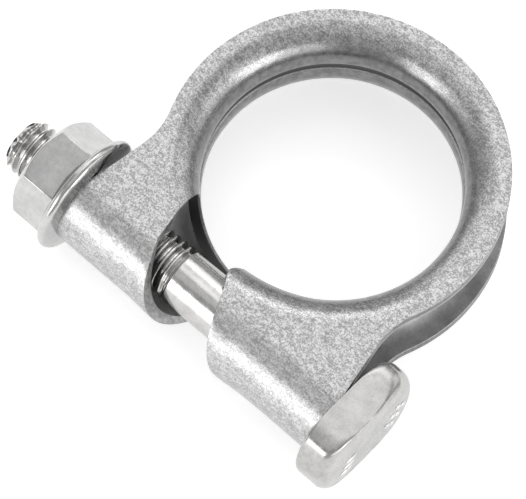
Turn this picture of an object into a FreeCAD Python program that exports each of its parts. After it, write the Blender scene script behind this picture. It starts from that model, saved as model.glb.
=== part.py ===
import FreeCAD, Part
import math
import os

# A pressed-steel pipe clamp with its cross bolt and nut.
# Millimetres. The origin is the centre of the pipe seat. +Z is the pipe's axis, the bolt runs
# along X with its head at +X and its nut at -X, and the ring's back is at +Y.

# ---- driving dimensions: clamp band ----
SHEET = 2.0                 # sheet thickness
HALF_WIDTH = 8.0            # centre plane to the outer face of either plate
SEAT_R = 21.5               # pipe seat
RIM_BEND_R = 6.5            # outer radius of the bend that turns a plate into the seat
SEAM_HALF_GAP = 0.5         # half of the gap between the two curled rims
RING_R = 29.3               # outer edge of the ring
LUG_END = 28.2              # lug end faces, both sides
LUG_WAIST_X = 26.3          # the lug's side narrows toward the ring to this half length ...
LUG_WAIST_Y = -18.5         # ... at this height
LUG_FILLET_R = 14.0         # hollow fillet between ring and lug

# ---- driving dimensions: bolt M10 x 72 with hammer head ----
BOLT_Y = -29.2
BOLT_D = 10.0
BOLT_END = -43.8
THREAD_START = -7.8
THREAD_PITCH = 1.5
THREAD_DEPTH = 0.92
THREAD_ROOT = 0.26          # width of the groove's bottom
THREAD_FLANK = 30.0         # degrees from the groove's middle plane to either flank
POINT_CHAMFER = 1.2
HEAD_R = 11.8               # the head is a disc with two flats
HEAD_HALF_FLATS = 7.9
HEAD_THICK = 6.4
HEAD_OUTER_ROUND = 1.4
HEAD_SEAT_ROUND = 0.7
HEAD_CORNER_ROUND = 2.0

# ---- driving dimensions: hexagon flange nut M10 ----
NUT_SEAT = -LUG_END
NUT_HEIGHT = 10.0
NUT_FLATS = 17.0
NUT_TURNED = 44.0           # degrees the hexagon stands turned about the bolt
NUT_BORE_R = 5.08
NUT_COUNTERSINK = 0.7
NUT_CHAMFER_LONG = 1.3
NUT_CHAMFER_FACE_R = 8.0
FLANGE_R = 11.2
FLANGE_LIP_R = 8.8          # where the underside starts to rise to the rim
FLANGE_LIP_RISE = 0.35
FLANGE_RIM = 1.8            # thickness of the rounded rim
FLANGE_TOP_R = 7.5          # the flange's cone climbs to this radius, inside the hexagon ...
FLANGE_TOP = 3.4            # ... and this height

# ---- the slit between the two lugs ----
SLIT_WIDTH = 14.3           # along the bolt
SLIT_CENTRE = -0.45         # its middle, halfway round the fold
SLIT_LEAN = 5.3             # it drifts this far along the bolt from there to either plate
SLIT_OVERLAP = 0.05         # the cut in the plates reaches this far into the fold
LUG_EDGE_BOWED = (-13.8, -23.2)     # the nut lug's near edge: halfway up the plate ...
LUG_EDGE_INNER = (-14.0, -17.0)     # ... and at the seat
TIP_EDGE = (-0.75, -25.2)           # the head lug's near edge just before its rounded tip
TIP_ROUND = (-0.7, -23.7)
TIP_INNER = (0.5, -22.3)

REACH = 60.0                # larger than the whole clamp, for cutting tools
MARGIN = 1.0                # how far a cutting tool stands past what it cuts
GROOVE_MARGIN = 0.1         # the same for the thread's groove
TOLERANCE = 1e-6

Vec = FreeCAD.Vector
X_AXIS = Vec(1, 0, 0)
Y_AXIS = Vec(0, 1, 0)
Z_AXIS = Vec(0, 0, 1)
ORIGIN = Vec(0, 0, 0)


def polygon_face(points):
    corners = [Vec(*p) for p in points]
    return Part.Face(Part.makePolygon(corners + [corners[0]]))


def box_between(low, high):
    size = [high[i] - low[i] for i in range(3)]
    return Part.makeBox(size[0], size[1], size[2], Vec(*low))


def turned_over(shape):
    """The same shape turned half a turn about the Y axis: near side for far, nut for head."""
    copy = shape.copy()
    copy.rotate(ORIGIN, Y_AXIS, 180)
    return copy


def onto_bolt(shape):
    """A shape made about the Z axis, laid along the bolt: local Z becomes +X, local X +Z."""
    matrix = FreeCAD.Matrix(0, 0, 1, 0,
                            0, -1, 0, BOLT_Y,
                            1, 0, 0, 0,
                            0, 0, 0, 1)
    return shape.transformed(matrix, True)


def plate_outline():
    """The plates' outline: a round ring with a lug on either side of the bolt's gap."""
    corner = Vec(LUG_END, BOLT_Y, 0)
    side = Vec(LUG_WAIST_X - LUG_END, LUG_WAIST_Y - BOLT_Y, 0).normalize()
    outward = Vec(side.y, -side.x, 0)
    base = corner + outward * LUG_FILLET_R
    half_b = base.dot(side)
    rest = base.dot(base) - (RING_R + LUG_FILLET_R) ** 2
    centre = base - side * (half_b + math.sqrt(half_b ** 2 - rest))
    on_side = centre - outward * LUG_FILLET_R
    on_ring = centre * (RING_R / (RING_R + LUG_FILLET_R))
    toward = (on_side - centre).normalize() + (on_ring - centre).normalize()
    middle = centre + toward.normalize() * LUG_FILLET_R

    def left(point):
        return Vec(-point.x, point.y, 0)

    edges = [Part.makeLine(left(corner), corner),
             Part.makeLine(corner, on_side),
             Part.Arc(on_side, middle, on_ring).toShape(),
             Part.Arc(on_ring, Vec(0, RING_R, 0), left(on_ring)).toShape(),
             Part.Arc(left(on_ring), left(middle), left(on_side)).toShape(),
             Part.makeLine(left(on_side), left(corner))]
    return Part.Face(Part.Wire(edges))


def near_side():
    """The plate on the +Z side with its inner rim curled down into the pipe seat."""
    bend_r = SEAT_R + RIM_BEND_R
    bend_z = HALF_WIDTH - RIM_BEND_R
    inner_r = RIM_BEND_R - SHEET
    plate = plate_outline().extrude(Z_AXIS * SHEET)
    plate.translate(Z_AXIS * (HALF_WIDTH - SHEET))
    plate = plate.cut(Part.makeCylinder(bend_r, HALF_WIDTH * 2))
    slant = math.sqrt(0.5)

    def at(radius, height):
        return Vec(radius, 0, height)

    edges = [Part.makeLine(at(SEAT_R, SEAM_HALF_GAP), at(SEAT_R, bend_z)),
             Part.Arc(at(SEAT_R, bend_z),
                      at(bend_r - RIM_BEND_R * slant, bend_z + RIM_BEND_R * slant),
                      at(bend_r, HALF_WIDTH)).toShape(),
             Part.makeLine(at(bend_r, HALF_WIDTH), at(bend_r, HALF_WIDTH - SHEET)),
             Part.Arc(at(bend_r, HALF_WIDTH - SHEET),
                      at(bend_r - inner_r * slant, bend_z + inner_r * slant),
                      at(SEAT_R + SHEET, bend_z)).toShape(),
             Part.makeLine(at(SEAT_R + SHEET, bend_z), at(SEAT_R + SHEET, SEAM_HALF_GAP)),
             Part.makeLine(at(SEAT_R + SHEET, SEAM_HALF_GAP), at(SEAT_R, SEAM_HALF_GAP))]
    rim = Part.Face(Part.Wire(edges)).revolve(ORIGIN, Z_AXIS, 360)
    return plate.fuse(rim)


def barrel():
    """The half-round fold that joins the two plates behind the bolt."""
    start = Vec(-LUG_END, BOLT_Y, 0)
    length = 2 * LUG_END
    tube = Part.makeCylinder(HALF_WIDTH, length, start, X_AXIS)
    tube = tube.cut(Part.makeCylinder(HALF_WIDTH - SHEET, length, start, X_AXIS))
    return tube.common(box_between((-REACH, -REACH, -REACH), (REACH, BOLT_Y, REACH)))


def slit_through_plate(long_fold, tip_fold):
    """The slit in the near plate, between the bowed edge and the tip's, from where each leaves the fold."""
    low_y = BOLT_Y - SLIT_OVERLAP
    beyond_y = -SEAT_R / 2

    def at(place):
        return Vec(place[0], place[1], 0)

    corners = [at((long_fold, BOLT_Y)), at((long_fold, low_y)), at((tip_fold, low_y)),
               at((tip_fold, BOLT_Y)), at(TIP_EDGE)]
    beyond = [at(TIP_INNER), at((TIP_INNER[0], beyond_y)), at((LUG_EDGE_INNER[0], beyond_y)),
              at(LUG_EDGE_INNER)]
    edges = [Part.makeLine(a, b) for a, b in zip(corners, corners[1:])]
    edges += [Part.Arc(at(TIP_EDGE), at(TIP_ROUND), at(TIP_INNER)).toShape()]
    edges += [Part.makeLine(a, b) for a, b in zip(beyond, beyond[1:])]
    edges += [Part.Arc(at(LUG_EDGE_INNER), at(LUG_EDGE_BOWED), at((long_fold, BOLT_Y))).toShape()]
    return Part.Face(Part.Wire(edges)).extrude(Z_AXIS * (HALF_WIDTH + SHEET))


def slit_through_barrel():
    """The slit round the fold: it climbs along the bolt as it goes from plate to plate."""
    middle_r = HALF_WIDTH - SHEET / 2
    climb = 2 * SLIT_LEAN
    path = Part.makeHelix(2 * climb, climb, middle_r)
    half = SLIT_WIDTH / 2
    section = Part.makePolygon([Vec(middle_r + a * SHEET, 0, b * half)
                                for a, b in ((-1, -1), (1, -1), (1, 1), (-1, 1), (-1, -1))])
    slot = Part.Wire(path.Edges).makePipeShell([section], True, True)
    slot.translate(Z_AXIS * (SLIT_CENTRE - SLIT_LEAN))
    return onto_bolt(slot)


def band_halves():
    """The whole band, parted at the back of the ring where it bends."""
    near = near_side()
    band = near.fuse([turned_over(near), barrel()]).removeSplitter()
    half = SLIT_WIDTH / 2
    near_slit = slit_through_plate(SLIT_CENTRE - SLIT_LEAN - half, SLIT_CENTRE - SLIT_LEAN + half)
    far_slit = slit_through_plate(-SLIT_CENTRE - SLIT_LEAN - half, -SLIT_CENTRE - SLIT_LEAN + half)
    for tool in (near_slit, turned_over(far_slit), slit_through_barrel()):
        band = band.cut(tool)
    parting = polygon_face([(0, 0, -REACH), (0, REACH, -REACH), (0, REACH, REACH), (0, 0, REACH)])
    pieces = band.generalFuse([parting])[0].Solids
    pieces.sort(key=lambda solid: solid.CenterOfMass.x)
    return pieces


def bolt():
    outer = LUG_END + HEAD_THICK
    head = Part.makeCylinder(HEAD_R, HEAD_THICK, Vec(LUG_END, BOLT_Y, 0), X_AXIS)
    flats = box_between((LUG_END - MARGIN, -REACH, -HEAD_HALF_FLATS),
                        (outer + MARGIN, REACH, HEAD_HALF_FLATS))
    head = head.common(flats)

    def lies_at(edge, where):
        return all(abs(v.X - where) < TOLERANCE for v in edge.Vertexes)

    corners = [e for e in head.Edges if not lies_at(e, LUG_END) and not lies_at(e, outer)]
    head = head.makeFillet(HEAD_CORNER_ROUND, corners)
    head = head.makeFillet(HEAD_OUTER_ROUND, [e for e in head.Edges if lies_at(e, outer)])
    head = head.makeFillet(HEAD_SEAT_ROUND, [e for e in head.Edges if lies_at(e, LUG_END)])
    length = LUG_END - BOLT_END
    thread = THREAD_START - BOLT_END
    groove_path = Part.makeHelix(THREAD_PITCH, thread + THREAD_PITCH, BOLT_D / 2)
    bottom = BOLT_D / 2 - THREAD_DEPTH
    top = BOLT_D / 2 + GROOVE_MARGIN
    open_half = THREAD_ROOT / 2 + (top - bottom) * math.tan(math.radians(THREAD_FLANK))
    groove_section = Part.makePolygon([Vec(bottom, 0, -THREAD_ROOT / 2),
                                       Vec(top, 0, -open_half),
                                       Vec(top, 0, open_half),
                                       Vec(bottom, 0, THREAD_ROOT / 2),
                                       Vec(bottom, 0, -THREAD_ROOT / 2)])
    groove = Part.Wire(groove_path.Edges).makePipeShell([groove_section], True, True)
    groove.translate(Z_AXIS * -THREAD_PITCH)
    wide = BOLT_D / 2 + MARGIN
    pointed = polygon_face([(0, 0, 0), (BOLT_D / 2 - POINT_CHAMFER, 0, 0),
                            (wide, 0, POINT_CHAMFER + MARGIN), (wide, 0, length),
                            (0, 0, length)]).revolve(ORIGIN, Z_AXIS, 360)
    shank = Part.makeCylinder(BOLT_D / 2, length).cut(groove).common(pointed)
    shank = onto_bolt(shank)
    shank.translate(X_AXIS * BOLT_END)
    return head.fuse(shank).removeSplitter()


def flange_nut():
    """Made standing on its seat about the Z axis, then laid along the bolt facing -X."""
    corner_r = NUT_FLATS / math.sqrt(3)
    hexagon = polygon_face([(corner_r * math.cos(math.radians(60 * k)),
                             corner_r * math.sin(math.radians(60 * k)), 0) for k in range(6)])
    body = hexagon.extrude(Z_AXIS * NUT_HEIGHT)
    slope = NUT_CHAMFER_LONG / (corner_r - NUT_CHAMFER_FACE_R)
    wide = corner_r + MARGIN
    crown = polygon_face([(0, 0, 0), (wide, 0, 0),
                          (wide, 0, NUT_HEIGHT - slope * (wide - NUT_CHAMFER_FACE_R)),
                          (NUT_CHAMFER_FACE_R, 0, NUT_HEIGHT), (0, 0, NUT_HEIGHT)])
    body = body.common(crown.revolve(ORIGIN, Z_AXIS, 360))
    rim_r = FLANGE_RIM / 2
    rim_z = FLANGE_LIP_RISE + rim_r

    def at(radius, height):
        return Vec(radius, 0, height)

    edges = [Part.makeLine(at(0, 0), at(FLANGE_LIP_R, 0)),
             Part.makeLine(at(FLANGE_LIP_R, 0), at(FLANGE_R - rim_r, FLANGE_LIP_RISE)),
             Part.Arc(at(FLANGE_R - rim_r, FLANGE_LIP_RISE), at(FLANGE_R, rim_z),
                      at(FLANGE_R - rim_r, rim_z + rim_r)).toShape(),
             Part.makeLine(at(FLANGE_R - rim_r, rim_z + rim_r), at(FLANGE_TOP_R, FLANGE_TOP)),
             Part.makeLine(at(FLANGE_TOP_R, FLANGE_TOP), at(0, FLANGE_TOP)),
             Part.makeLine(at(0, FLANGE_TOP), at(0, 0))]
    flange = Part.Face(Part.Wire(edges)).revolve(ORIGIN, Z_AXIS, 360)
    nut = body.fuse(flange).cut(Part.makeCylinder(NUT_BORE_R, NUT_HEIGHT))
    countersink = Part.makeCone(NUT_BORE_R, NUT_BORE_R + NUT_COUNTERSINK, NUT_COUNTERSINK,
                                Vec(0, 0, NUT_HEIGHT - NUT_COUNTERSINK), Z_AXIS)
    nut = nut.cut(countersink).removeSplitter()
    nut.rotate(ORIGIN, Z_AXIS, -NUT_TURNED)
    nut.rotate(ORIGIN, Y_AXIS, -90)
    nut.translate(Vec(NUT_SEAT, BOLT_Y, 0))
    return nut


nut_half, head_half = band_halves()
nodes = {"band_nut_side": nut_half,
         "band_head_side": head_half,
         "hammer_head_bolt": bolt(),
         "flange_nut": flange_nut()}

os.makedirs("parts", exist_ok=True)
for name, shape in nodes.items():
    if len(shape.Solids) != 1 or not shape.isValid():
        print("check", name, "solids", len(shape.Solids), "valid", shape.isValid())
    shape = shape.Solids[0]
    shape.exportStep("parts/" + name + ".step")
    box = shape.BoundBox
    print(name, round(shape.Volume, 1), [round(v, 2) for v in
          (box.XMin, box.XMax, box.YMin, box.YMax, box.ZMin, box.ZMax)])
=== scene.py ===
import math

import bmesh
import bpy
from mathutils import Matrix, Vector, noise


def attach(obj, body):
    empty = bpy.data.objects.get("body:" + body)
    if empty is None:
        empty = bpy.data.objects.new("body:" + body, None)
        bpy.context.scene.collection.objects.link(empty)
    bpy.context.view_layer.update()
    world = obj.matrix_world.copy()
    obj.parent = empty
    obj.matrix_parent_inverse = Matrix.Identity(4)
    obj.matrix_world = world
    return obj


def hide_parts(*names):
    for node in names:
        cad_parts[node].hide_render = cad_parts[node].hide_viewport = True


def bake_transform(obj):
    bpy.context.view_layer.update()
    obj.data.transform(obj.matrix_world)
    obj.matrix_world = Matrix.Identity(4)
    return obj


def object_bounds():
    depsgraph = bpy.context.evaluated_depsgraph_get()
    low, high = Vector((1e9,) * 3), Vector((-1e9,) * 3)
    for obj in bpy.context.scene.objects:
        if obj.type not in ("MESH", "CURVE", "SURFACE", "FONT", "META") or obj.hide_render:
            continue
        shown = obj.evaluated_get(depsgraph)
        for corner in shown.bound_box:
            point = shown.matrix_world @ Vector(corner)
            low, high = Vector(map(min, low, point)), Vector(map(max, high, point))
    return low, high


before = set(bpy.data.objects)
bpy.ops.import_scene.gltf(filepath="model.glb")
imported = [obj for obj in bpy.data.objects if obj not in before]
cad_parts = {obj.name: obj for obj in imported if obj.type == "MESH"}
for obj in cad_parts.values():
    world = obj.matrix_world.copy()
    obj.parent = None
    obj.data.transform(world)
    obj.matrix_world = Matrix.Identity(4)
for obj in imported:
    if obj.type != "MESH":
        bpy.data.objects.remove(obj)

# A folded sheet-steel pipe clamp with its cross bolt and flange nut. Sizes are in millimetres
# and turned into metres where a mesh is made. The seat's centre is the origin, the bolt runs
# along X with its head at +X, and the ring's back is at +Y.

CAD_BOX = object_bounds()
MM = 0.001
SMALL = 0.05                # keeps a division away from nought
MERGE = 0.004               # points closer than this become one
SLIVER = 0.002              # edges shorter than this are taken out

# ---- clamp band ----
SHEET = 2.0
HALF_WIDTH = 8.0
SEAT_R = 21.5
RIM_BEND_R = 6.5
NEAR_SEAM = 2.1             # the near rim ends this far above the middle plane ...
FAR_SEAM = 0.3              # ... and the far rim passes it by this much
NEAR_LIFT = 0.3             # the near rim's edge stands this far off the pipe
EDGE_SLANT = 0.9            # the rims' cut edges lean back this far across the sheet
RING_R = 29.27
LUG_END = 28.2
LUG_WAIST = Vector((26.3, -18.5))
LUG_FILLET_R = 14.0
SHEARED_ROUND = 0.3         # rounding of the sheet's cut edges
SLANT_REACH = 3.0           # the lean fades out over this height of the curl
SLANT_FROM = 1.2            # it takes in the sheet from this far behind the seat ...
SLANT_TO = 3.5              # ... to this far
LIFT_FADE = 0.4             # share of the curl over which a rim's stand-off is lost
SWELL_REACH = 4.0           # the fold's swell at the slit fades over this length
HAND_WORK = 0.05            # how far the pressed sheet strays from its ideal shape
HAND_WAVE = 9.0             # and over what length it strays to and fro
HAND_SEED = 7
OPENS_TO = -100             # a rim's opening is full at this angle, in degrees
SHARP_EDGE = 50             # sheet edges sharper than this many degrees are rounded

INSIDE = 1                  # places of the sheet's finishes in its list
SHEARED = 2

# ---- the slit between the lugs ----
SLIT_HALF = 7.15            # half its width, along the fold
SLIT_CENTRE = -0.45
SLIT_LEAN = 5.3             # half of how far it slants between the near plate and the far one
BOWED_EDGE = (Vector((13.8, -23.2)), Vector((14.0, -17.0)))     # its middle, and a place near the seat
TIP_EDGE = Vector((-0.75, -25.2))                   # a pointed edge is straight up to here,
TIP_ROUND = Vector((-0.7, -23.7))                   # turns round this corner,
TIP_INNER = Vector((0.5, -22.3))                    # and runs into the rim from here

# ---- bolt ----
BOLT_Y = -29.2
BOLT_R = 5.0
BOLT_END = -43.8
THREAD_END = -7.0           # the groove has run out here
THREAD_PITCH = 1.5
THREAD_DEPTH = 0.92
CREST_HALF = 0.1            # half width of the flat on a crest
FLANK = 0.53                # length along the bolt of one flank
RUN_OUT = 1.7
POINT_CHAMFER = 1.2
TORN_LENGTH = 3.2           # the thread's first turns are battered over this length
TORN_DEPTH = 0.9            # depth of a dent where the noise and MORE_DENTS add up to 1
DENTS_ALONG = 0.7           # how closely the dents follow each other along the bolt ...
DENTS_ROUND = 3             # ... and round it
MORE_DENTS = 0.25           # above 0, they cover more than half of the battered length
BOLT_ROUND = 0.18
BOLT_SHARP_EDGE = 32        # degrees
HEAD_R = 11.8
HEAD_HALF_FLATS = 7.9
HEAD_CORNER = 2.2           # how softly the flats run into the disc
HEAD_OUTER = 34.32          # end face; the raised marks on it reach the full length
HEAD_OUTER_ROUND = 1.7
HEAD_OUTER_ROUND_MORE = 1.3
HEAD_SEAT_ROUND = 0.9
HEAD_SEAT_ROUND_MORE = 0.9
NECK = ((0.0, 0.5), (0.15, 0.15), (0.5, 0.0))   # how much wider the shank is, how far from the head
MARK_RISE = 0.28
BAR_SQUARENESS = 3          # how sharply a raised bar's sides turn into its ends
PAIRS_OF_PIPS = ((7.4, 0.3), (6.15, -1.6), (4.9, -3.5))     # middles of the pairs, from the bolt
PIP_OFFSETS = ((0.7, -0.35), (-0.5, 0.45))
PIP_SIZE = (0.64, 0.6)
BARS = ((-4.5, -1.3), (-5.0, -2.9), (-5.5, -4.5))
BAR_SIZE = (1.4, 0.46)

# ---- nut ----
NUT_SEAT = -LUG_END
NUT_HEIGHT = 10.0
NUT_HALF_FLATS = 8.5
NUT_TURNED = math.radians(44)
NUT_BORE_R = 5.08
NUT_CHAMFER_FACE_R = 8.0
NUT_CHAMFER_SLOPE = 0.716
FLANGE_LIP_R = 8.8          # the seat face is flat up to here
FLANGE_RIM_CENTRE = (10.29, 1.25)   # radius and height of the middle of the rim's rounding
FLANGE_RIM_R = 0.9
FLANGE_SLOPE = 0.5          # climb of the flange's top for each millimetre toward the bolt
NUT_COUNTERSINK = 0.7
NUT_SEAT_CHAMFER = 0.6
NUT_ROUND = 0.32
NUT_SHARP_EDGE = 28         # degrees


# ---------------------------------------------------------------- mesh helpers
def dress(obj, *materials):
    """Gives the object these materials and no others."""
    obj.data.materials.clear()
    for material in materials:
        obj.data.materials.append(material)


def mesh_object(name, points, faces):
    """A smooth, closed-up mesh from points in millimetres."""
    mesh = bpy.data.meshes.new(name)
    mesh.from_pydata([Vector(p) * MM for p in points], [], faces)
    grid = bmesh.new()
    grid.from_mesh(mesh)
    bmesh.ops.remove_doubles(grid, verts=grid.verts, dist=MERGE * MM)
    bmesh.ops.dissolve_degenerate(grid, edges=grid.edges, dist=SLIVER * MM)
    for face in grid.faces:
        face.smooth = True
    grid.to_mesh(mesh)
    grid.free()
    obj = bpy.data.objects.new(name, mesh)
    bpy.context.scene.collection.objects.link(obj)
    return obj


def apply_modifiers(obj):
    """Replaces the object's mesh by the one its modifiers make."""
    bpy.context.view_layer.update()
    evaluated = obj.evaluated_get(bpy.context.evaluated_depsgraph_get())
    mesh = bpy.data.meshes.new_from_object(evaluated)
    obj.modifiers.clear()
    obj.data = mesh


def bevel(obj, width, degrees):
    """Rounds every edge sharper than this many degrees."""
    edge = obj.modifiers.new("edge", "BEVEL")
    edge.width = width * MM
    edge.segments = 3
    edge.limit_method = "ANGLE"
    edge.angle_limit = math.radians(degrees)
    edge.use_clamp_overlap = True


def turn_faces_out(obj):
    """Makes the faces look outward."""
    grid = bmesh.new()
    grid.from_mesh(obj.data)
    bmesh.ops.recalc_face_normals(grid, faces=grid.faces)
    grid.to_mesh(obj.data)
    grid.free()


def smooth_step(value):
    """0 below 0 and 1 above 1, with an even climb between."""
    value = min(max(value, 0.0), 1.0)
    return value * value * (3 - 2 * value)


def soft_min(a, b, width):
    """The smaller of two numbers, with the change from one to the other rounded off."""
    near = max(width - abs(a - b), 0.0) / width
    return min(a, b) - near * near * width / 4


# ---------------------------------------------------------------- the band
def side_geometry():
    """The lug's corner and side, and where its hollow fillet meets the side and the ring."""
    corner = Vector((LUG_END, BOLT_Y))
    side = (LUG_WAIST - corner).normalized()
    outward = Vector((side.y, -side.x))
    base = corner + outward * LUG_FILLET_R
    half_b = base.dot(side)
    rest = base.dot(base) - (RING_R + LUG_FILLET_R) ** 2
    centre = base - side * (half_b + math.sqrt(half_b ** 2 - rest))
    on_side = centre - outward * LUG_FILLET_R
    on_ring = centre * (RING_R / (RING_R + LUG_FILLET_R))
    return corner, side, centre, on_side, on_ring


CORNER, SIDE_DIR, FILLET_CENTRE, ON_SIDE, ON_RING = side_geometry()


def angle_of(point):
    """A point's angle about the seat's centre, from +X toward +Y."""
    return math.atan2(point.y, point.x)


def edge_radius(angle):
    """Distance of the plate's outer edge from the seat's centre."""
    ray = Vector((math.cos(angle), math.sin(angle)))
    if angle >= angle_of(ON_RING):
        return RING_R
    if angle >= angle_of(ON_SIDE):
        along = FILLET_CENTRE.dot(ray)
        off = FILLET_CENTRE.length_squared - along ** 2
        return along - math.sqrt(LUG_FILLET_R ** 2 - off)
    cross = ray.x * SIDE_DIR.y - ray.y * SIDE_DIR.x
    return (CORNER.x * SIDE_DIR.y - CORNER.y * SIDE_DIR.x) / cross


def circle_crossing(start, end, radius):
    """The point of a line through start and end at this distance from the seat's centre."""
    step = end - start
    a = step.dot(step)
    b = 2 * start.dot(step)
    c = start.dot(start) - radius ** 2
    return start + step * ((-b - math.sqrt(max(b * b - 4 * a * c, 0))) / (2 * a))


def tip_edge(fold_x, radius):
    """A lug's pointed edge by distance from the seat's centre: straight, then a round tip."""
    if radius >= TIP_EDGE.length:
        return circle_crossing(Vector((fold_x, BOLT_Y)), TIP_EDGE, radius)
    if radius <= TIP_INNER.length:
        return Vector((TIP_INNER.x, -math.sqrt(radius ** 2 - TIP_INNER.x ** 2)))
    share = (TIP_EDGE.length - radius) / (TIP_EDGE.length - TIP_INNER.length)
    first = TIP_EDGE.lerp(TIP_ROUND, share)
    second = TIP_ROUND.lerp(TIP_INNER, share)
    return first.lerp(second, share).normalized() * radius


def bowed_edge(fold_x, radius):
    """A lug's other edge: a shallow bow from the fold to the seat."""
    middle, inner = BOWED_EDGE
    if radius >= middle.length:
        return circle_crossing(Vector((fold_x, BOLT_Y)), middle, radius)
    return circle_crossing(middle, inner, radius)


BEND_STEPS = 14
FLAT_STEPS = 8
BARREL_STEPS = 32
RING_STEP = math.radians(1.6)
LUG_COLUMNS = 30


def rim_rows(seam_z, lift):
    """(radius, height) round a rim's curl, from its edge at the seam to the start of the flat plate."""
    bend_z = HALF_WIDTH - RIM_BEND_R
    first = math.asin((seam_z - bend_z) / RIM_BEND_R)
    rows = []
    for i in range(BEND_STEPS + 1):
        turn = first + (math.pi / 2 - first) * i / BEND_STEPS
        stand_off = lift * max(1 - i / (LIFT_FADE * BEND_STEPS), 0) ** 2
        rows.append((SEAT_R + RIM_BEND_R * (1 - math.cos(turn)) + stand_off,
                     bend_z + RIM_BEND_R * math.sin(turn)))
    return rows


class Half:
    """One half of the band, drawn as the head side. The nut side is the same turned over about Y."""

    def __init__(self, upper_rim, lower_rim, tip_fold, bowed_fold, seat_opens, opens_from,
                 swell, swell_at_slit):
        self.rims = {1: upper_rim, -1: lower_rim}
        self.tip_fold = tip_fold
        self.bowed_fold = bowed_fold
        self.seat_opens = seat_opens
        self.opens_from = math.radians(opens_from)
        self.swell = swell
        self.swell_at_slit = swell_at_slit

    def opening(self, angle):
        """How far the curled rim stands open at its edge, growing toward the slit."""
        reach = math.radians(OPENS_TO) - self.opens_from
        share = max((angle - self.opens_from) / reach, 0)
        return self.seat_opens * share ** 2

    def opened(self, radius, angle):
        """A radius with the rim's opening: most at the seat, none in the plate."""
        depth = max(1 - (radius - SEAT_R) / RIM_BEND_R, 0)
        return radius + self.opening(angle) * depth

    def ring_column(self, angle, side):
        """One spoke of a plate, seam to outer edge; side is +1 for the plate at +Z, -1 for the other."""
        ray = Vector((math.cos(angle), math.sin(angle)))
        column = []
        for r, z in self.rims[side]:
            r = self.opened(r, angle)
            column.append((ray.x * r, ray.y * r, z * side))
        bend_r = SEAT_R + RIM_BEND_R
        outer = edge_radius(angle)
        for i in range(1, FLAT_STEPS + 1):
            r = bend_r + (outer - bend_r) * i / FLAT_STEPS
            column.append((ray.x * r, ray.y * r, HALF_WIDTH * side))
        return column

    def lug_column(self, share, edge, fold_x, side):
        """One line of a lug's plate, from its seam to the fold."""
        corner_angle = angle_of(CORNER)
        column = []
        for r, z in self.rims[side]:
            angle = corner_angle + (angle_of(edge(fold_x, r)) - corner_angle) * share
            r = self.opened(r, angle)
            column.append((r * math.cos(angle), r * math.sin(angle), z * side))
        start = Vector(column[-1][:2])
        fold = Vector((LUG_END + (fold_x - LUG_END) * share, BOLT_Y))
        for i in range(1, FLAT_STEPS + 1):
            p = start.lerp(fold, i / FLAT_STEPS)
            column.append((p.x, p.y, HALF_WIDTH * side))
        return column

    def barrel_column(self, share):
        """One line round the fold, from the near plate to the far one, ends left out."""
        column = []
        for i in range(1, BARREL_STEPS):
            turn = math.pi * i / BARREL_STEPS
            slit_x = self.tip_fold + (self.bowed_fold - self.tip_fold) * i / BARREL_STEPS
            x = LUG_END + (slit_x - LUG_END) * share
            at_slit = math.exp(-((x - slit_x) / SWELL_REACH) ** 2)
            swell = self.swell + self.swell_at_slit * at_slit
            r = HALF_WIDTH + swell * math.sin(turn)
            column.append((x, BOLT_Y - r * math.sin(turn), r * math.cos(turn)))
        return column

    def surface(self):
        """The half's outer skin."""
        points, faces = [], []
        first = angle_of(CORNER)
        count = round((math.pi / 2 - first) / RING_STEP)
        angles = [first + (math.pi / 2 - first) * i / count for i in range(count + 1)]
        strip([self.ring_column(angle, 1) for angle in angles], points, faces)
        strip([self.ring_column(angle, -1) for angle in angles], points, faces, flip=True)
        lug = []
        for i in range(LUG_COLUMNS + 1):
            share = i / LUG_COLUMNS
            whole = self.lug_column(share, tip_edge, self.tip_fold, 1)
            whole += self.barrel_column(share)
            whole += self.lug_column(share, bowed_edge, self.bowed_fold, -1)[::-1]
            lug.append(whole)
        strip(lug, points, faces, flip=True)
        return points, faces


def strip(columns, points, faces, flip=False):
    """Joins neighbouring columns of equal length by quads."""
    base = len(points)
    rows = len(columns[0])
    for column in columns:
        points.extend(column)
    for c in range(len(columns) - 1):
        for r in range(rows - 1):
            a = base + c * rows + r
            quad = (a, a + rows, a + rows + 1, a + 1)
            faces.append(quad if flip else quad[::-1])


noise.seed_set(HAND_SEED)   # so that every build gives the same mesh


def pressed(point):
    """A point of the ideal skin, moved a little as hand-set press tools leave it."""
    p = Vector(point)
    return p + noise.noise_vector(p / HAND_WAVE) * HAND_WORK


NEAR_RIM = rim_rows(NEAR_SEAM, NEAR_LIFT)
FAR_RIM = rim_rows(-FAR_SEAM, 0)
HEAD_HALF = Half(NEAR_RIM, FAR_RIM, tip_fold=SLIT_CENTRE - SLIT_LEAN + SLIT_HALF,
                 bowed_fold=SLIT_CENTRE + SLIT_LEAN + SLIT_HALF,
                 seat_opens=0.7, opens_from=-62, swell=0.4, swell_at_slit=0.45)
NUT_HALF = Half(FAR_RIM, NEAR_RIM, tip_fold=SLIT_HALF - SLIT_CENTRE - SLIT_LEAN,
                bowed_fold=SLIT_HALF - SLIT_CENTRE + SLIT_LEAN,
                seat_opens=2.0, opens_from=20, swell=0.15, swell_at_slit=0.35)


def behind_seat(place):
    """How far a place lies behind the rims' seat surface, in millimetres."""
    x, y = place.x / MM, place.y / MM
    half = HEAD_HALF if x > 0 else NUT_HALF
    return math.hypot(x, y) - SEAT_R - half.opening(math.atan2(y, abs(x)))


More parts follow.
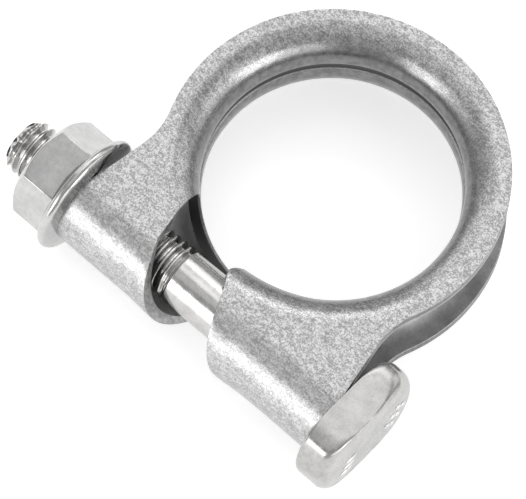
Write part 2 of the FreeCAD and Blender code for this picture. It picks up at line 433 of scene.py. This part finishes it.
def slant_seams(band):
    """Leans the rims' cut edges back, away from the seam, on their channel side."""
    middle = (NEAR_SEAM + FAR_SEAM) / 2
    for vertex in band.data.vertices:
        if not SLANT_FROM < behind_seat(vertex.co) < SLANT_TO:
            continue
        z = vertex.co.z / MM
        seam_z, side = (NEAR_SEAM, 1) if z > middle else (FAR_SEAM, -1)
        share = 1 - side * (z - seam_z) / SLANT_REACH
        vertex.co.z += side * EDGE_SLANT * min(max(share, 0), 1) * MM


def at_outline(place):
    """1 at the plates' outer edge, 0 elsewhere."""
    x, y = abs(place.x / MM), place.y / MM
    angle = math.atan2(y, x)
    if angle < angle_of(CORNER):
        return 0.0
    off = abs(math.hypot(x, y) - edge_radius(angle))
    return 1.0 if off < 2 * SHEARED_ROUND else 0.0


def store(band, name, measure):
    """Stores a number at every vertex, measured from its place, for the finishes to read."""
    stored = band.data.attributes.new(name, "FLOAT", "POINT")
    for vertex, value in zip(band.data.vertices, stored.data):
        value.value = measure(vertex.co)


def make_band(finishes):
    """The whole band: both halves' outer skin, thickened to sheet, with its cut edges rounded."""
    points, faces = HEAD_HALF.surface()
    half = len(points)
    nut_points, nut_faces = NUT_HALF.surface()
    points += [(-x, y, -z) for x, y, z in nut_points]
    faces += [tuple(i + half for i in face) for face in nut_faces]
    band = mesh_object("clamp_band", [pressed(p) for p in points], faces)
    dress(band, *finishes)
    thick = band.modifiers.new("sheet", "SOLIDIFY")
    thick.thickness = SHEET * MM
    thick.offset = -1
    thick.use_even_offset = True
    thick.material_offset = INSIDE
    thick.material_offset_rim = SHEARED
    apply_modifiers(band)
    slant_seams(band)
    bevel(band, SHEARED_ROUND, SHARP_EDGE)
    apply_modifiers(band)
    store(band, "behind_seat", behind_seat)
    store(band, "at_outline", at_outline)
    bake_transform(band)
    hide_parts("band_nut_side", "band_head_side")
    return band


# ---------------------------------------------------------------- round pieces on the bolt's axis
def polar_grid(rows, columns, closed=False):
    """Points and faces of rings about the bolt; each row gives (radius, x) by angle from +Y to +Z."""
    points, faces = [], []
    for row in rows:
        for j in range(columns):
            angle = 2 * math.pi * j / columns
            radius, x = row(angle)
            points.append((x, BOLT_Y + radius * math.cos(angle), radius * math.sin(angle)))
    count = len(rows)
    for i in range(count if closed else count - 1):
        for j in range(columns):
            a = i * columns + j
            b = i * columns + (j + 1) % columns
            c = (i + 1) % count * columns + (j + 1) % columns
            d = (i + 1) % count * columns + j
            faces.append((a, b, c, d))
    return points, faces


def hexagon_radius(angle):
    """Distance from the axis to the nut's flats, for an angle measured from +Y toward +Z."""
    turned = math.pi / 2 - angle + NUT_TURNED
    from_flat = (turned % (math.pi / 3)) - math.pi / 6
    return NUT_HALF_FLATS / math.cos(from_flat)


def nut_rows():
    """Rings from the seat over the flange, up the flats, and down the bore."""

    def ring(radius, height):
        return lambda angle: (radius, NUT_SEAT - height)

    def on_flats(height_at):
        def row(angle):
            radius = hexagon_radius(angle)
            return radius, NUT_SEAT - height_at(radius)
        return row

    def cone(radius):
        top = FLANGE_RIM_CENTRE[1] + FLANGE_RIM_R
        return top + (FLANGE_RIM_CENTRE[0] - radius) * FLANGE_SLOPE

    def crown(radius):
        return NUT_HEIGHT - NUT_CHAMFER_SLOPE * (radius - NUT_CHAMFER_FACE_R)

    def between(start, end, share):
        """A ring part of the way from one row to another."""
        def row(angle):
            a, b = start(angle), end(angle)
            return a[0] + (b[0] - a[0]) * share, a[1] + (b[1] - a[1]) * share
        return row

    rows = [ring(NUT_BORE_R + NUT_SEAT_CHAMFER, 0), ring(FLANGE_LIP_R, 0)]
    rim_steps = 10
    for i in range(rim_steps + 1):
        turn = math.pi * (i / rim_steps - 0.5)
        rows.append(ring(FLANGE_RIM_CENTRE[0] + FLANGE_RIM_R * math.cos(turn),
                         FLANGE_RIM_CENTRE[1] + FLANGE_RIM_R * math.sin(turn)))
    foot = on_flats(cone)
    shoulder = on_flats(crown)
    face_edge = ring(NUT_CHAMFER_FACE_R, NUT_HEIGHT)
    rows += [between(rows[-1], foot, 0.35), between(rows[-1], foot, 0.75), foot]
    rows += [between(foot, shoulder, 0.5), shoulder, between(shoulder, face_edge, 0.5), face_edge]
    rows += [ring(NUT_BORE_R + NUT_COUNTERSINK, NUT_HEIGHT),
             ring(NUT_BORE_R, NUT_HEIGHT - NUT_COUNTERSINK),
             ring(NUT_BORE_R, NUT_SEAT_CHAMFER)]
    return rows


NUT_COLUMNS = 180


def make_nut():
    """The hexagon nut and its flange in one piece."""
    points, faces = polar_grid(nut_rows(), NUT_COLUMNS, closed=True)
    nut = mesh_object("hexagon_flange_nut", points, faces)
    bevel(nut, NUT_ROUND, NUT_SHARP_EDGE)
    apply_modifiers(nut)
    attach(nut, "nut")
    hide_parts("flange_nut")
    return nut


ROWS_PER_PITCH = 14
BOLT_COLUMNS = 120


def groove_depth(offset):
    """Depth of the rolled groove at this distance along the bolt from a crest's middle.

    Its flanks are halfway between straight and smoothly curved."""
    share = (abs(offset) - CREST_HALF) / FLANK
    return THREAD_DEPTH * (0.5 * min(max(share, 0), 1) + 0.5 * smooth_step(share))


def battered(x, angle):
    """How much the bolt's end has been knocked in at this place."""
    share = smooth_step((BOLT_END + TORN_LENGTH - x) / TORN_LENGTH)
    place = Vector((x * DENTS_ALONG, DENTS_ROUND * math.cos(angle), DENTS_ROUND * math.sin(angle)))
    return TORN_DEPTH * share * max(noise.noise(place) + MORE_DENTS, 0)


def thread_grid(points, faces):
    """The threaded stretch. Its rows follow the helix, so that crests and roots run along them."""
    step = THREAD_PITCH / ROWS_PER_PITCH
    count = round((THREAD_END - BOLT_END) / step) + 2 * ROWS_PER_PITCH
    base = len(points)
    for i in range(count):
        offset = (i % ROWS_PER_PITCH) * step
        offset = min(offset, THREAD_PITCH - offset)
        for j in range(BOLT_COLUMNS):
            x = BOLT_END - THREAD_PITCH + i * step + THREAD_PITCH * j / BOLT_COLUMNS
            x = min(max(x, BOLT_END), THREAD_END)
            fade = smooth_step((THREAD_END - x) / RUN_OUT)
            radius = BOLT_R - groove_depth(offset) * fade
            radius = min(radius, BOLT_R - POINT_CHAMFER + (x - BOLT_END))
            angle = 2 * math.pi * j / BOLT_COLUMNS
            radius -= battered(x, angle)
            points.append((x, BOLT_Y + radius * math.cos(angle), radius * math.sin(angle)))
    for i in range(count - 1):
        for j in range(BOLT_COLUMNS):
            wrap = ROWS_PER_PITCH if j == BOLT_COLUMNS - 1 else 0
            if i + 1 + wrap >= count:
                continue
            a = base + i * BOLT_COLUMNS + j
            b = base + (i + wrap) * BOLT_COLUMNS + (j + 1) % BOLT_COLUMNS
            faces.append((a, a + BOLT_COLUMNS, b + BOLT_COLUMNS, b))


def head_outline(angle, inset):
    """The head's outline: a disc drawn in by inset, cut by two flats."""
    flat = HEAD_HALF_FLATS / max(abs(math.sin(angle)), SMALL)
    return soft_min(HEAD_R - inset, flat, HEAD_CORNER)


def toward_ring(angle):
    """0 on the side of the head that points away from the ring, 1 on the side toward it."""
    return smooth_step((math.cos(angle) + 0.5) / 1.2)


def outer_round(angle):
    """Rounding of the disc's outer edge, largest at the end that points to the ring."""
    return HEAD_OUTER_ROUND + HEAD_OUTER_ROUND_MORE * toward_ring(angle)


def seat_round(angle):
    """The same for its edge on the lug's side."""
    return HEAD_SEAT_ROUND + HEAD_SEAT_ROUND_MORE * toward_ring(angle)


def head_rows():
    """Rings from the shank's end over the seat face, the sides and the end face."""
    steps = 9

    def seat_row(i):
        turn = math.pi / 2 * i / steps

        def row(angle):
            size = seat_round(angle)
            inset = size * (1 - math.sin(turn))
            return head_outline(angle, inset), LUG_END + size * (1 - math.cos(turn))
        return row

    def outer_row(i):
        turn = math.pi / 2 * i / steps

        def row(angle):
            size = outer_round(angle)
            inset = size * (1 - math.cos(turn))
            return head_outline(angle, inset), HEAD_OUTER - size * (1 - math.sin(turn))
        return row

    def end_face(share):
        def row(angle):
            radius, x = outer_row(steps)(angle)
            return radius * share, x
        return row

    def shank(wider, before):
        return lambda angle: (BOLT_R + wider, LUG_END - before)

    rows = [lambda angle: (BOLT_R, THREAD_END)]
    rows += [shank(wider, before) for wider, before in NECK]
    rows += [seat_row(i) for i in range(steps + 1)]
    rows += [outer_row(i) for i in range(steps + 1)]
    rows += [end_face(share) for share in (0.75, 0.4, 0.0)]
    return rows


def raised_dot(points, faces, y, z, half_long, half_wide):
    """A small raised pip or bar on the head's end face, with rounded shoulders."""
    base = len(points)
    columns = 20
    tilts = (-0.2, 0.25, 0.6, 0.95, 1.25, math.pi / 2)
    layers = [(math.cos(tilt), MARK_RISE * math.sin(tilt)) for tilt in tilts]
    for share, rise in layers:
        for j in range(columns):
            angle = 2 * math.pi * j / columns
            stretch = half_long - half_wide
            reach = half_wide * share
            end = max(-1, min(1, BAR_SQUARENESS * math.cos(angle)))
            along = stretch * share * end + reach * math.cos(angle)
            points.append((HEAD_OUTER + rise, BOLT_Y + y + along, z + reach * math.sin(angle)))
    for i in range(len(layers) - 1):
        for j in range(columns):
            a = base + i * columns + j
            b = base + i * columns + (j + 1) % columns
            faces.append((a, b, b + columns, a + columns))


def make_bolt():
    """The bolt in one piece: its point, thread, shank and head."""
    points, faces = polar_grid([lambda angle: (0.0, BOLT_END),
                                lambda angle: (BOLT_R - POINT_CHAMFER, BOLT_END)], BOLT_COLUMNS)
    thread_grid(points, faces)
    base = len(points)
    head_points, head_faces = polar_grid(head_rows(), BOLT_COLUMNS)
    points += head_points
    faces += [tuple(i + base for i in face) for face in head_faces]
    bolt = mesh_object("cross_bolt", points, faces)
    turn_faces_out(bolt)
    bevel(bolt, BOLT_ROUND, BOLT_SHARP_EDGE)
    apply_modifiers(bolt)
    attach(bolt, "bolt")
    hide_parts("hammer_head_bolt")
    return bolt


def make_head_marks():
    """Plain raised pips and bars where a maker would set a strength mark and a sign."""
    points, faces = [], []
    for y, z in PAIRS_OF_PIPS:
        for along, across in PIP_OFFSETS:
            raised_dot(points, faces, y + along, z + across, *PIP_SIZE)
    for y, z in BARS:
        raised_dot(points, faces, y, z, *BAR_SIZE)
    marks = mesh_object("head_marks", points, faces)
    turn_faces_out(marks)
    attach(marks, "bolt")
    return marks


# ---------------------------------------------------------------- materials
# Where a finish gives way to another, in millimetres: none of it at the first place, all of it
# from the second on.
# The seat's darker tone from here in is partly rub and partly painted shade.
RUBBED_AND_SHADED = (SEAT_R + 3.5, SEAT_R + 0.7)               # distance from the pipe's axis
# The fold's lighter tone over this span is partly burnish and partly a painted highlight.
BURNISHED_AND_HIGHLIT = (BOLT_Y - 0.8, BOLT_Y - 3.3)            # Y, round the fold
# Painted light: the hidden side is lighter inside the lug at the nut, from these places on.
LUG_INSIDE = (-11.0, -16.0)                         # Y, and ...
NUT_SIDE = (0.0, -4.0)                              # ... X of the lug at the nut
HANDLED_HEAD = (LUG_END - 0.7, LUG_END + 0.3)       # X
SEAM_EDGES = (4.0, 3.4)                             # Z, below which an edge is a rim's
# The rims' cut edges are painted near black on their channel side between these places: partly the torn
# zone of the cut, partly painted shade in the gap between the rims.
BROKEN_AND_SHADED_FROM = (0.5, 0.7)                            # distance behind the seat, near its skin ...
BROKEN_AND_SHADED_TO = (3.2, 2.9)                              # ... and near the sheet's other skin
CUT_FROM = (HALF_WIDTH - 1.7, HALF_WIDTH - 1.5)     # distance from the middle plane, near the inside
CUT_TO = (HALF_WIDTH - 0.1, HALF_WIDTH - 0.3)       # ... and near the plate's face
# Grey of that band: the torn zone together with painted shade.
BROKEN_AND_SHADE_GREY = 0.07


class Finish:
    """A finish made of shader nodes. Most helpers add nodes and return the last one's output;
    colour, roughness and relief hand it to the shader."""

    def __init__(self, name, metallic):
        self.material = bpy.data.materials.new(name)
        self.material.use_nodes = True
        self.tree = self.material.node_tree
        self.shader = self.tree.nodes["Principled BSDF"]
        self.shader.inputs["Metallic"].default_value = metallic
        self.place = self.tree.nodes.new("ShaderNodeTexCoord").outputs["Object"]

    def join(self, source, socket):
        """Sets a socket by a link or by a plain value."""
        if isinstance(source, bpy.types.NodeSocket):
            self.tree.links.new(source, socket)
        else:
            socket.default_value = source

    def grain(self, size, detail=2.0, stretch=None, turned=0.0):
        """Noise of about this grain size in millimetres, spread over 0 to 1."""
        vector = self.place
        if stretch:
            mapping = self.tree.nodes.new("ShaderNodeMapping")
            mapping.inputs["Scale"].default_value = stretch
            mapping.inputs["Rotation"].default_value = (0, 0, math.radians(turned))
            self.join(vector, mapping.inputs["Vector"])
            vector = mapping.outputs["Vector"]
        texture = self.tree.nodes.new("ShaderNodeTexNoise")
        self.join(vector, texture.inputs["Vector"])
        texture.inputs["Scale"].default_value = 1 / (size * MM)
        texture.inputs["Detail"].default_value = detail
        return self.spread(texture.outputs["Fac"], 0.3, 0.7, 0.0, 1.0)

    def spread(self, value, low, high, to_low, to_high):
        """Maps low..high to to_low..to_high and clamps."""
        mapped = self.tree.nodes.new("ShaderNodeMapRange")
        self.join(value, mapped.inputs["Value"])
        mapped.inputs["From Min"].default_value = low
        mapped.inputs["From Max"].default_value = high
        mapped.inputs["To Min"].default_value = to_low
        mapped.inputs["To Max"].default_value = to_high
        return mapped.outputs["Result"]

    def fade(self, place, bounds):
        """0 at the first bound and 1 at the second, for a place in metres and bounds in millimetres."""
        return self.spread(place, bounds[0] * MM, bounds[1] * MM, 0.0, 1.0)

    def math(self, operation, a, b=0.0):
        """One step of sums, by the node's own name for it."""
        step = self.tree.nodes.new("ShaderNodeMath")
        step.operation = operation
        self.join(a, step.inputs[0])
        self.join(b, step.inputs[1])
        return step.outputs["Value"]

    def sum(self, *weighted):
        """Adds (value, weight) pairs."""
        total = 0.0
        for value, weight in weighted:
            total = self.math("ADD", total, self.math("MULTIPLY", value, weight))
        return total

    def tone(self, value, *stops):
        """A colour ramp over (place, colour) stops."""
        ramp = self.tree.nodes.new("ShaderNodeValToRGB")
        self.join(value, ramp.inputs["Fac"])
        elements = ramp.color_ramp.elements
        for i, (place, colour) in enumerate(stops):
            element = elements[i] if i < 2 else elements.new(place)
            element.position = place
            element.color = (*colour, 1)
        return ramp.outputs["Color"]

    def mix(self, share, a, b):
        """Colour a where the share is 0, b where it is 1."""
        blend = self.tree.nodes.new("ShaderNodeMix")
        blend.data_type = "RGBA"
        self.join(share, blend.inputs["Factor"])
        self.join(a, blend.inputs[6])
        self.join(b, blend.inputs[7])
        return blend.outputs[2]

    def along(self, axis):
        """The place along one axis, in metres."""
        split = self.tree.nodes.new("ShaderNodeSeparateXYZ")
        self.join(self.place, split.inputs["Vector"])
        return split.outputs[axis]

    def stored(self, name):
        """A number stored at the mesh's vertices."""
        attribute = self.tree.nodes.new("ShaderNodeAttribute")
        attribute.attribute_name = name
        return attribute.outputs["Fac"]

    def from_pipe_axis(self):
        """Distance from the pipe's axis, in metres."""
        x, y = self.along("X"), self.along("Y")
        squares = self.math("ADD", self.math("MULTIPLY", x, x), self.math("MULTIPLY", y, y))
        return self.math("SQRT", squares)

    def colour(self, source):
        self.join(source, self.shader.inputs["Base Color"])

    def roughness(self, source):
        self.join(source, self.shader.inputs["Roughness"])

    def relief(self, height, depth):
        """Bumps of this depth in millimetres."""
        bump = self.tree.nodes.new("ShaderNodeBump")
        bump.inputs["Strength"].default_value = 1.0
        bump.inputs["Distance"].default_value = depth * MM
        self.join(height, bump.inputs["Height"])
        self.join(bump.outputs["Normal"], self.shader.inputs["Normal"])


def grey(value, warm=0.0):
    """A grey in linear light; warm is how far red leads blue."""
    return (value * (1 + warm / 2), value, value * (1 - warm / 2))


def dull_zinc():
    """The band's outer skin: mottled zinc crystals; darker at the seat, where the rim is rubbed smooth
    and painted shade is laid into its tone; lighter on the folds, partly burnished and partly a painted
    highlight.
    """
    finish = Finish("dull_zinc", metallic=0.85)
    fine = finish.grain(0.27, detail=2)
    flecks = finish.grain(0.8, detail=3)
    patches = finish.grain(2.5, detail=4)
    wrinkles = finish.grain(0.45, detail=3, stretch=(0.3, 1.0, 1.0), turned=-42)
    rubbed_and_shaded = finish.fade(finish.from_pipe_axis(), RUBBED_AND_SHADED)
    burnished_and_highlit = finish.fade(finish.along("Y"), BURNISHED_AND_HIGHLIT)
    mottle = finish.sum((fine, 0.48), (flecks, 0.18), (patches, 0.13), (wrinkles, 0.21))
    crystals = finish.tone(mottle, (0.32, grey(0.24, 0.01)), (0.5, grey(0.37)), (0.68, grey(0.54)))
    # bright: the fold's lighter tone, partly burnish and partly a painted highlight.
    bright = finish.tone(mottle, (0.32, grey(0.31, 0.01)), (0.5, grey(0.43)), (0.68, grey(0.58)))
    # worn: the seat's darker tone, partly rub and partly painted shade.
    worn = finish.tone(finish.grain(1.2, detail=4), (0.2, grey(0.17)), (0.8, grey(0.25)))
    finish.colour(finish.mix(rubbed_and_shaded, finish.mix(burnished_and_highlit, crystals, bright), worn))
    finish.roughness(finish.sum((flecks, 0.06), (rubbed_and_shaded, -0.02), (burnished_and_highlit, 0.07), (1.0, 0.23)))
    shaken = finish.sum((fine, 0.6), (flecks, 0.5), (wrinkles, 0.5))
    steady = finish.math("SUBTRACT", 1.0, finish.math("MULTIPLY", rubbed_and_shaded, 0.6))
    finish.relief(finish.math("MULTIPLY", shaken, steady), 0.009)
    return finish.material


def inner_zinc():
    """The sheet's hidden side: smoother and darker, but painted lighter in the lug at the nut, a painted
    light that lifts the shade in the slit's pocket.
    """
    finish = Finish("inner_zinc", metallic=0.65)
    fine = finish.grain(0.5, detail=3)
    patches = finish.grain(3.5, detail=3)
    mottle = finish.sum((fine, 0.3), (patches, 0.7))
    in_channel = finish.tone(mottle, (0.2, grey(0.24)), (0.8, grey(0.37)))
    painted_light_by_slit = finish.tone(mottle, (0.2, grey(0.50)), (0.8, grey(0.66)))
    at_lugs = finish.fade(finish.along("Y"), LUG_INSIDE)
    at_nut = finish.fade(finish.along("X"), NUT_SIDE)
    finish.colour(finish.mix(finish.math("MULTIPLY", at_lugs, at_nut), in_channel, painted_light_by_slit))
    finish.roughness(finish.spread(patches, 0, 1, 0.34, 0.44))
    finish.relief(fine, 0.003)
    return finish.material


def sheared_zinc():
    """The sheet's cut edges. The rims' are dark on their channel side, partly their torn zone and partly
    painted shade in the narrow gap between the rims; the outline's are dark in their middle.
    """
    finish = Finish("sheared_zinc", metallic=0.8)
    tears = finish.grain(0.5, detail=3, stretch=(1.0, 1.0, 0.25))
    deep = finish.stored("behind_seat")
    behind_lip = finish.spread(deep, *BROKEN_AND_SHADED_FROM, 0.0, 1.0)
    in_sheet = finish.spread(deep, *BROKEN_AND_SHADED_TO, 0.0, 1.0)
    at_seam = finish.fade(finish.along("Z"), SEAM_EDGES)
    # The rims' channel-side band: torn zone plus painted shade in the gap between the rims.
    broken_and_shaded = finish.math("MULTIPLY", behind_lip, finish.math("MULTIPLY", in_sheet, at_seam))
    clean = finish.tone(tears, (0.15, grey(0.28)), (0.85, grey(0.46)))
    torn = finish.tone(tears, (0.15, grey(0.10)), (0.85, grey(0.20)))
    off_middle = finish.math("ABSOLUTE", finish.along("Z"))
    past_corner = finish.fade(off_middle, CUT_FROM)
    before_face = finish.fade(off_middle, CUT_TO)
    on_outline = finish.math("MULTIPLY", finish.stored("at_outline"), before_face)
    cut = finish.mix(finish.math("MULTIPLY", on_outline, past_corner), clean, torn)
    finish.colour(finish.mix(broken_and_shaded, cut, (*grey(BROKEN_AND_SHADE_GREY), 1)))
    finish.roughness(finish.spread(tears, 0, 1, 0.3, 0.42))
    finish.relief(tears, 0.012)
    return finish.material


def bright_zinc(name, warm, lift=1.0, handled=None):
    """The smooth plate on the bolt and the nut, faintly mottled; duller where it is handled, by X."""
    finish = Finish(name, metallic=1.0)
    fine = finish.grain(0.4, detail=2)
    patches = finish.grain(3.0, detail=4)
    marks = finish.grain(1.0, detail=5)
    mottle = finish.sum((fine, 0.2), (patches, 0.4), (marks, 0.4))
    shiny = finish.tone(mottle, (0.25, grey(0.44 * lift, warm)), (0.75, grey(0.53 * lift, warm)))
    roughness = finish.spread(marks, 0, 1, 0.10, 0.22)
    if handled is None:
        finish.colour(shiny)
        finish.roughness(roughness)
    else:
        worn = finish.fade(finish.along("X"), handled)
        dull = finish.tone(mottle, (0.25, grey(0.35, warm)), (0.75, grey(0.46, warm)))
        finish.colour(finish.mix(worn, shiny, dull))
        finish.roughness(finish.sum((roughness, 1.0), (worn, 0.09)))
    finish.relief(finish.sum((fine, 0.4), (marks, 1.0)), 0.006)
    return finish.material


sheet_finishes = (dull_zinc(), inner_zinc(), sheared_zinc())
band = make_band(sheet_finishes)
dress(make_nut(), bright_zinc("plated_nut", 0.01))
dress(make_bolt(), bright_zinc("plated_bolt", 0.02, handled=HANDLED_HEAD))
# The marks are painted lighter: partly worn tops, partly a painted highlight on their raised tops.
dress(make_head_marks(), bright_zinc("worn_and_highlit_marks", 0.02, lift=1.3))

# ---------------------------------------------------------------- camera
# It stands where the photographer did. These are its right, down and forward directions, and
# how far along each of them the seat's centre lies from it.
RIGHT = Vector((0.7381, 0.6741, 0.0277))
DOWN = Vector((0.6262, -0.6692, -0.4001))
FORWARD = Vector((-0.2511, 0.3127, -0.916))
OFFSET = Vector((11.75, -10.31, 1080.65)) * MM
FOCAL_PIXELS = 6487.6
IMAGE_WIDTH = 526
SENSOR_WIDTH = 36
camera_data = bpy.data.cameras.new("camera")
camera = bpy.data.objects.new("camera", camera_data)
bpy.context.scene.collection.objects.link(camera)
camera_data.sensor_width = SENSOR_WIDTH
camera_data.lens = FOCAL_PIXELS / IMAGE_WIDTH * camera_data.sensor_width
camera_data.clip_start = 0.05
camera_data.clip_end = 20
place = -(RIGHT * OFFSET.x + DOWN * OFFSET.y + FORWARD * OFFSET.z)
turn = Matrix((RIGHT, -DOWN, -FORWARD)).transposed()
camera.matrix_world = Matrix.Translation(place) @ turn.to_4x4()
bpy.context.scene.camera = camera
bpy.context.scene.view_settings.view_transform = "Standard"

# ---------------------------------------------------------------- floor and light
FLOOR_Z = CAD_BOX[0].z
FLOOR_SIZE = 4.0
FLOOR_GLOW = 0.42
SKY = 0.55
PANEL = 0.28
PANEL_DISTANCE = 0.6

bpy.ops.mesh.primitive_plane_add(size=FLOOR_SIZE, location=(0, 0, FLOOR_Z))
floor = bpy.context.object
floor.name = "floor"
floor_finish = Finish("floor", metallic=0.0)
floor_finish.colour((0.9, 0.9, 0.9, 1))
floor_finish.roughness(0.9)
floor_finish.shader.inputs["Emission Color"].default_value = (1, 1, 1, 1)
floor_finish.shader.inputs["Emission Strength"].default_value = FLOOR_GLOW
dress(floor, floor_finish.material)

world = bpy.data.worlds.new("studio")
bpy.context.scene.world = world
world.use_nodes = True
world.node_tree.nodes["Background"].inputs["Color"].default_value = (1, 1, 1, 1)
world.node_tree.nodes["Background"].inputs["Strength"].default_value = SKY


def softbox(name, round_view, off_view, radiance, size=PANEL):
    """A square soft panel aimed at the clamp, placed by angles round the line of sight and off it."""
    turn, tilt = math.radians(round_view), math.radians(off_view)
    across = RIGHT * math.cos(turn) - DOWN * math.sin(turn)
    direction = across * math.sin(tilt) - FORWARD * math.cos(tilt)
    light = bpy.data.lights.new(name, "AREA")
    light.size = size
    light.energy = radiance * math.pi * size ** 2
    obj = bpy.data.objects.new(name, light)
    bpy.context.scene.collection.objects.link(obj)
    obj.location = direction * PANEL_DISTANCE
    obj.rotation_euler = direction.to_track_quat("Z", "Y").to_euler()


# A tent of soft panels. Each has a name, its angle round the line of sight from the picture's
# right, its angle off that line, its radiance, and its size in metres if not PANEL.
TENT = (("lower_right", 329, 57, 4.0),
        ("below", 297, 50, 1.5),
        ("lower_left", 203, 55, 2.7),
        ("right_near", 0, 50, 0.7),
        ("right_far", 0, 72, 0.9),
        ("upper_right", 45, 70, 0.9),
        ("top_near", 86, 54, 0.85, 0.44),
        ("top_far_right", 80, 72, 1.2),
        ("top_far_left", 115, 72, 0.8),
        ("left", 180, 60, 0.8),
        ("lower_left_far", 209, 74, 1.6),
        ("above_lens", 112, 26, 0.34, 0.5),
        ("behind_right", 30, 94, 0.4),
        ("behind_left", 120, 94, 0.7))
for panel in TENT:
    softbox(*panel)
